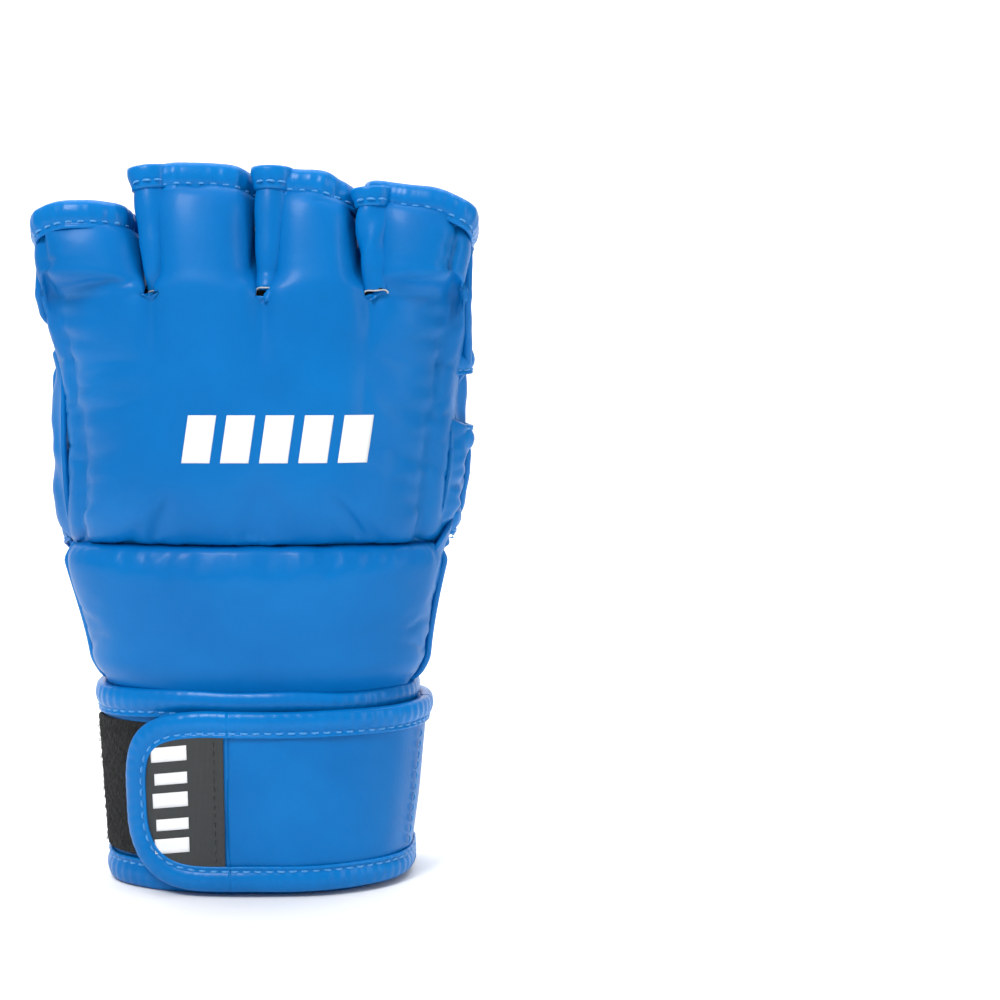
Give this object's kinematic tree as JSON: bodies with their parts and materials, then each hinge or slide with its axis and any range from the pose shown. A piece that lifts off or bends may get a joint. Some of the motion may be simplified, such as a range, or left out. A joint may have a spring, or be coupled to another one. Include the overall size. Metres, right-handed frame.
{
  "type": "mma glove",
  "caption": "Open-palm padded grappling glove for the right hand with open finger tubes, bound edges and a hook-and-loop wrist strap.",
  "frame": {"origin": "centre of the glove's footprint box, in the plane of the cuff's lower edge", "axes": "+Z from the cuff to the fingertips, -Y the padded back of the hand, +Y the palm, -X the thumb side and +X the little-finger side"},
  "size_m": [0.144, 0.0827, 0.228],
  "materials": {
    "cover_leather": "soft satin grain",
    "panel_leather": "satin grain",
    "binding": "glossy folded tape",
    "foam": "closed-cell foam",
    "lining": "ribbed knit",
    "loop_tape": "fuzzy loop",
    "hook_tape": "hook field",
    "label": "satin woven"
  },
  "bodies": {
    "glove": {"index_cover": "cover_leather", "index_foam": "foam", "index_sleeve": "panel_leather", "index_lining": "lining", "index_rim_binding": "binding", "middle_cover": "cover_leather", "middle_foam": "foam", "middle_sleeve": "panel_leather", "middle_lining": "lining", "middle_rim_binding": "binding", "ring_cover": "cover_leather", "ring_foam": "foam", "ring_sleeve": "panel_leather", "ring_lining": "lining", "ring_rim_binding": "binding", "little_cover": "cover_leather", "little_foam": "foam", "little_sleeve": "panel_leather", "little_lining": "lining", "little_rim_binding": "binding", "index_middle_roll": "panel_leather", "middle_ring_roll": "panel_leather", "ring_little_roll": "panel_leather", "knuckle_cover": "cover_leather", "knuckle_foam": "foam", "back_cover": "cover_leather", "back_foam": "foam", "hand_lining": "lining", "thumb_edge_binding": "binding", "little_edge_binding": "binding", "thumb_gusset": "panel_leather", "little_gusset": "panel_leather", "palm_band": "panel_leather", "palm_band_top_binding": "binding", "palm_band_bottom_binding": "binding", "heel_panel": "panel_leather", "heel_binding": "binding", "palm_patch_foam": "foam", "palm_patch_cover": "cover_leather", "wrist_flap": "panel_leather", "wrist_flap_binding": "binding", "cuff_band": "panel_leather", "cuff_lining": "lining", "cuff_top_binding": "binding", "cuff_bottom_binding": "binding", "loop_patch": "loop_tape", "strap_root": "panel_leather"},
    "strap": {"strap": "panel_leather", "strap_binding": "binding"},
    "tab": {"strap_tab": "panel_leather", "tab_binding": "binding", "tab_label": "label", "hook_patch": "hook_tape"}
  },
  "joints": [
    {"name": "strap_open", "type": "hinge", "parent": "glove", "child": "strap", "pos_m": [0.0538, -0.0001, 0.03], "axis": [0, 0, 1], "range_deg": [0, 150]},
    {"name": "tab_peel", "type": "hinge", "parent": "strap", "child": "tab", "pos_m": [-0.00853, -0.03388, 0.03], "axis": [0, 0, 1], "range_deg": [0, 60]}
  ]
}
